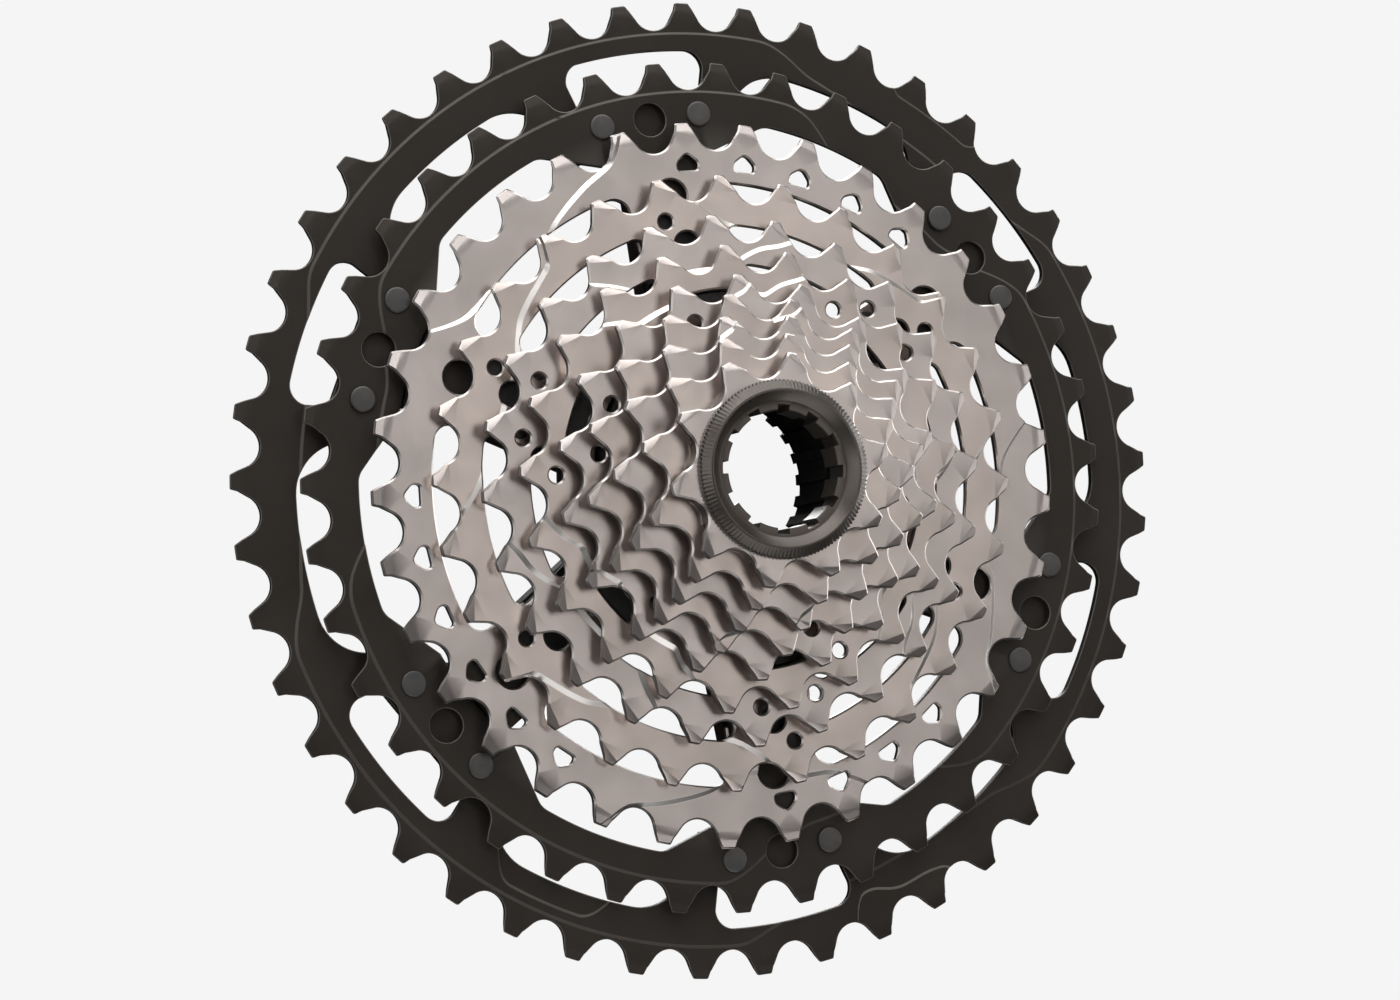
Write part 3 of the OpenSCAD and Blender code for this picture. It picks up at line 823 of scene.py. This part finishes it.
def spacer(node, material, inner_r, outer_r, chamfer):
    """Plain ring with all four edges chamfered"""
    low, high = span(node)
    c = chamfer
    profile = [(inner_r + c, low), (outer_r - c, low), (outer_r, low + c), (outer_r, high - c),
               (outer_r - c, high), (inner_r + c, high), (inner_r, high - c), (inner_r, low + c)]
    return ring(node + "_ring", node, material, profile)


spacer("spacer_18_16", spacer_black, 16.0, 21, 0.25)
spacer("spacer_16_14", spacer_black, 16.0, 20, 0.25)
spacer("lockring_washer", washer_steel, 13.55, 16.2, 0.08)


# ---- Lockring ----

def lockring():
    """Threaded sleeve with tool grooves in its bore, and a flange with a coned, notched front"""
    low, high = span("lockring")
    flange_z = high - 2
    rim_r, thread_r = 16.35, 13.4
    tip_r, groove_r, groove_w, grooves = 10.7, 11.7, 2.4, 12
    knurls, knurl_depth = 132, 0.28
    thread_pitch, thread_depth = 1.0, 0.45
    angles = set(np.round(np.arange(0, 360, 360 / knurls / 6), 4).tolist())
    half = math.degrees(math.asin(groove_w / 2 / groove_r))
    for i in range(grooves):
        mid = i * 360 / grooves
        for edge in (-half, half):
            angles.add(round((mid + edge - 0.12) % 360, 4))
            angles.add(round((mid + edge + 0.12) % 360, 4))
    angles = np.array(sorted(angles))
    from_mid = np.abs((angles + 15) % 30 - 15)
    bore = np.where(from_mid < half, groove_r, tip_r)
    phase = (angles / 360 * knurls) % 1
    knurl = knurl_depth * np.clip(1.6 - 4 * np.abs(phase - 0.5), 0, 1)
    ones = np.ones_like(angles)

    # Rows of the closed profile: up the bore, over the coned front, down the rim and the thread
    rows = [(bore + 0.15, low), (bore, low + 0.2), (bore, flange_z + 0.1), (bore + 0.2, flange_z + 0.3),
            (12.3 * ones, flange_z + 0.3), (12.45 * ones, flange_z + 0.36),
            (13.98 * ones, high - 0.14), (14.12 * ones, high - 0.02), (14.3 * ones, high),
            (14.5 * ones, high - 0.02), (14.66 * ones, high - 0.14),
            (16.05 * ones - knurl * 0.4, flange_z + 0.72), (16.22 * ones - knurl, flange_z + 0.6),
            (rim_r * ones - knurl, flange_z + 0.42), (rim_r * ones - knurl, flange_z + 0.12),
            (16.22 * ones - knurl, flange_z), (thread_r - 0.4 * ones, flange_z)]
    steps = np.arange(flange_z - 0.25, low + 0.7, -0.2)
    for z in steps:
        wave = np.abs(((z / thread_pitch + angles / 360) % 1) - 0.5) * 2
        rows.append((thread_r - thread_depth * wave, z))
    rows.append((12.6 * ones, low))
    vertices = []
    for radius, z in rows:
        for a, r in zip(angles, radius):
            x, y = polar(r, a)
            vertices.append((x, y, z))
    faces = lathe_faces(len(rows), len(angles))
    new_piece("lockring_body", vertices, faces, "lockring", lockring_black, [True] * len(faces))


lockring()


# ---- Carriers keep their CAD shape ----

for node, material in (("rear_carrier", carrier_black), ("mid_carrier", composite)):
    obj = frame["nodes"][node]
    obj.data.materials.clear()
    obj.data.materials.append(material)
    bevel = obj.modifiers.new("soft_edges", "BEVEL")
    bevel.width = 0.0003
    bevel.segments = 2
    bevel.limit_method = "ANGLE"
    bevel.angle_limit = math.radians(40)


# ---- Stage, light and camera ----

def stage():
    """Pale seamless sheet: a floor that curves up into a backdrop, all round the object"""
    m = Nodes("pale_sheet")
    pale = (0.913, 0.913, 0.913, 1)
    seen = m.add("Emission", {"Color": pale, "Strength": 1.0})
    soft = m.add("BsdfDiffuse", {"Color": (0.16, 0.16, 0.16, 1)})
    camera_ray = m.add("LightPath").outputs["Is Camera Ray"]
    both = m.add("MixShader", {"Fac": camera_ray, 1: soft.outputs[0], 2: seen.outputs[0]})
    material = m.finish(both)
    floor_z = -0.32
    profile = [(0.0, floor_z), (2.0, floor_z), (2.6, floor_z + 0.1), (3.0, floor_z + 0.5), (3.1, 1.0),
               (3.1, 3.2)]
    columns = 96
    vertices, faces = [], []
    for r, z in profile[1:]:
        for j in range(columns):
            x, y = polar(r, j * 360 / columns)
            vertices.append((x, y, z))
    for i in range(len(profile) - 2):
        for j in range(columns):
            a, b = i * columns + j, i * columns + (j + 1) % columns
            faces.append((a, b, b + columns, a + columns))
    faces.append(tuple(range(columns)))
    mesh = bpy.data.meshes.new("stage_sheet")
    mesh.from_pydata(vertices, [], faces)
    mesh.polygons.foreach_set("use_smooth", [True] * len(mesh.polygons))
    mesh.materials.append(material)
    sheet = bpy.data.objects.new("stage_sheet", mesh)
    bpy.context.scene.collection.objects.link(sheet)


def area_light(name, azimuth, elevation, distance, size, power, colour=(1, 1, 1)):
    """Soft box that looks at the object. Azimuth 0 is in front, and positive is to the right."""
    a, e = math.radians(azimuth), math.radians(elevation)
    where = Vector((math.sin(a) * math.cos(e), -math.cos(a) * math.cos(e), math.sin(e))) * distance
    data = bpy.data.lights.new(name, "AREA")
    data.shape = "RECTANGLE"
    data.size, data.size_y = size
    data.energy = power
    data.color = colour
    light = bpy.data.objects.new(name, data)
    light.visible_camera = False
    light.location = where
    light.rotation_mode = "QUATERNION"
    light.rotation_quaternion = (-where).to_track_quat("-Z", "Y")
    bpy.context.scene.collection.objects.link(light)


def lights():
    """The key is what the flat faces mirror towards the camera. The cards are what the tooth
    facets, the slopes of the sunk areas and the chamfers mirror."""
    area_light("face_key", 20, 6, 1.8, (0.6, 0.8), 1.85, (1.0, 0.975, 0.95))
    area_light("upper_left_card", -20, 29, 1.3, (0.4, 0.4), 1.5)
    area_light("high_left_card", -33, 52, 1.3, (0.6, 0.5), 2.2)
    area_light("top_card", 25, 46, 1.4, (1.2, 0.6), 3.4)
    area_light("overhead", 10, 80, 1.2, (1.4, 1.2), 12)
    area_light("right_card", 64, 6, 1.4, (0.7, 1.0), 2.4)
    area_light("left_card", -56, 6, 1.2, (0.6, 1.0), 2.9)
    area_light("right_strip", 108, 8, 1.2, (0.4, 1.0), 4)
    area_light("floor_card", 0, -55, 0.34, (0.3, 0.16), 0.24)
    area_light("back_fill", 150, 35, 1.4, (1.2, 1.0), 22)
    world = bpy.data.worlds.new("studio")
    world.use_nodes = True
    world.node_tree.nodes["Background"].inputs[0].default_value = (1, 1, 1, 1)
    world.node_tree.nodes["Background"].inputs[1].default_value = 0.035
    bpy.context.scene.world = world


def camera():
    """Low and to the left, looking at the hub axis in the plane of the largest sprocket's face"""
    target = Vector((0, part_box("sprocket_45t")[0].y, 0))
    azimuth, elevation, distance = math.radians(-20.97), math.radians(-5.04), 0.780
    back = Vector((math.sin(azimuth) * math.cos(elevation), -math.cos(azimuth) * math.cos(elevation),
                   math.sin(elevation)))
    data = bpy.data.cameras.new("camera")
    data.lens = 106.3
    data.sensor_width = 36
    data.shift_x = -0.0066
    data.shift_y = -0.0099
    cam = bpy.data.objects.new("camera", data)
    cam.location = target + back * distance
    cam.rotation_mode = "QUATERNION"
    cam.rotation_quaternion = (-back).to_track_quat("-Z", "Y")
    bpy.context.scene.collection.objects.link(cam)
    bpy.context.scene.camera = cam


stage()
lights()
camera()
bpy.context.scene.view_settings.view_transform = "Standard"
